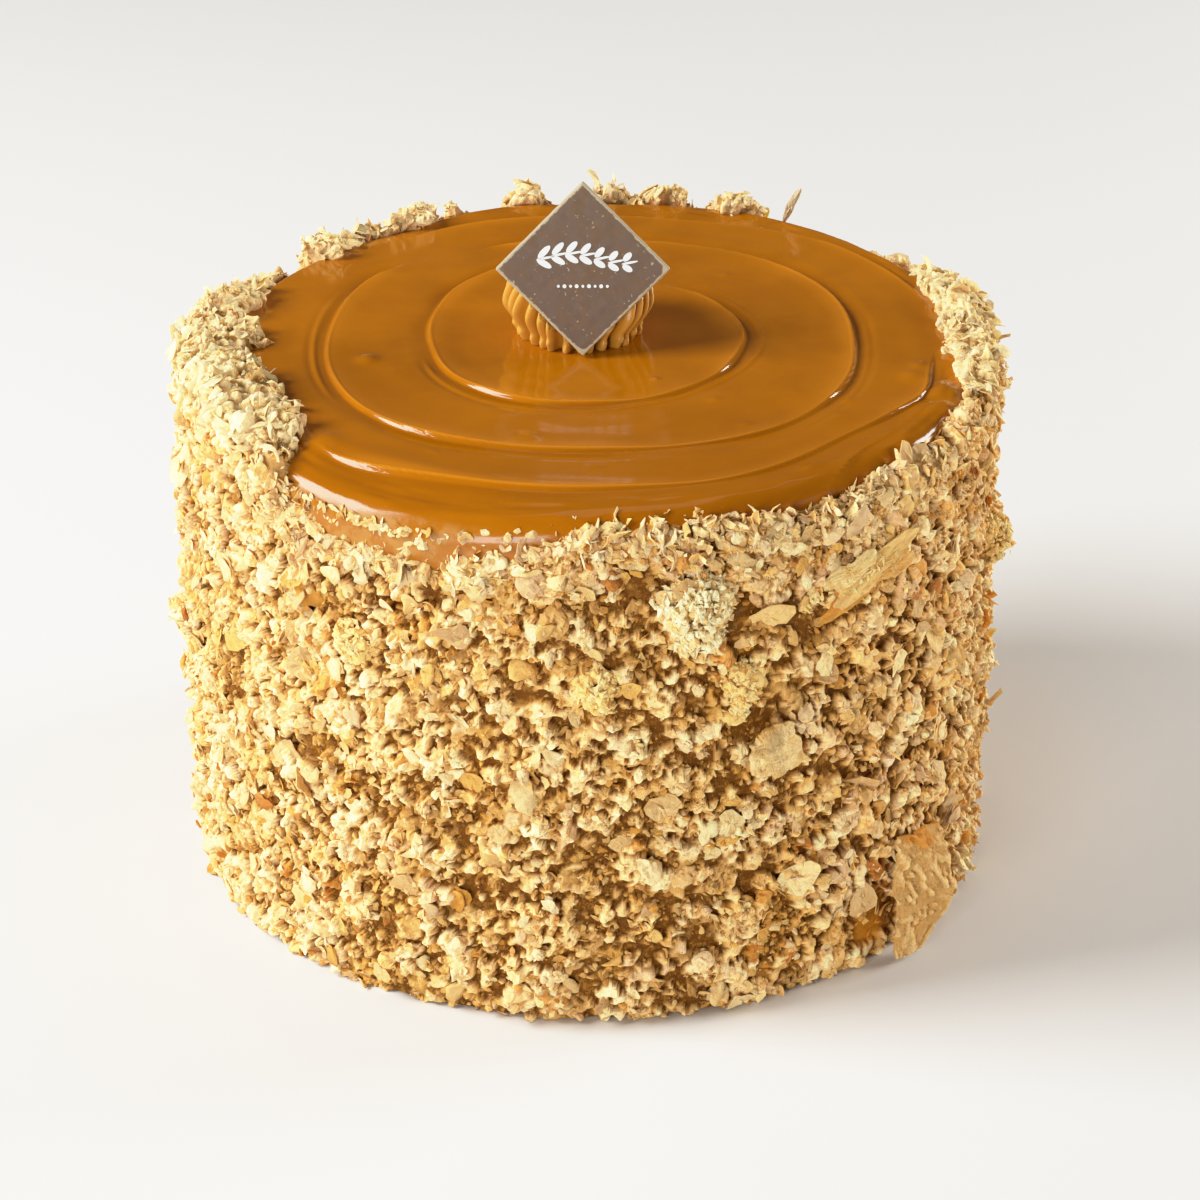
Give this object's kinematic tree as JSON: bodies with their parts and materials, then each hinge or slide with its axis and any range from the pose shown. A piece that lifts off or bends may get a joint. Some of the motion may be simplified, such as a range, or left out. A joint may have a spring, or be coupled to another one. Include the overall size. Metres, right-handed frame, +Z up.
{
  "type": "layer cake",
  "caption": "Tall round cake with a swirled caramel top, a piped rosette, a square chocolate plaque on its corner and a side rolled in pastry crumbs and flakes.",
  "frame": {"origin": "on the floor, under the middle of the cake's outline", "axes": "+Z up along the cake's axis, -Y towards the front, which the plaque faces"},
  "size_m": [0.2114, 0.2106, 0.1777],
  "materials": {
    "pastry_crumb": "dry pastry crumbs and flakes in a thin caramel coat",
    "caramel_icing": "glossy soft caramel, smoothed with a spatula",
    "piped_caramel": "satin piped caramel",
    "chocolate": "dull milk chocolate with pale worn edges and flecks",
    "pale_flake": "dry baked puff pastry"
  },
  "bodies": {
    "root": {"cake": "pastry_crumb", "icing_top": "caramel_icing", "rosette": "piped_caramel", "plaque": "chocolate", "flake_leaning": "pale_flake", "flake_pile": "pale_flake", "flake_round": "pale_flake", "flake_tall": "pale_flake", "clump_pale": "pale_flake", "clump_front": "pale_flake", "clump_left": "pale_flake", "clump_right": "pale_flake"}
  },
  "joints": []
}
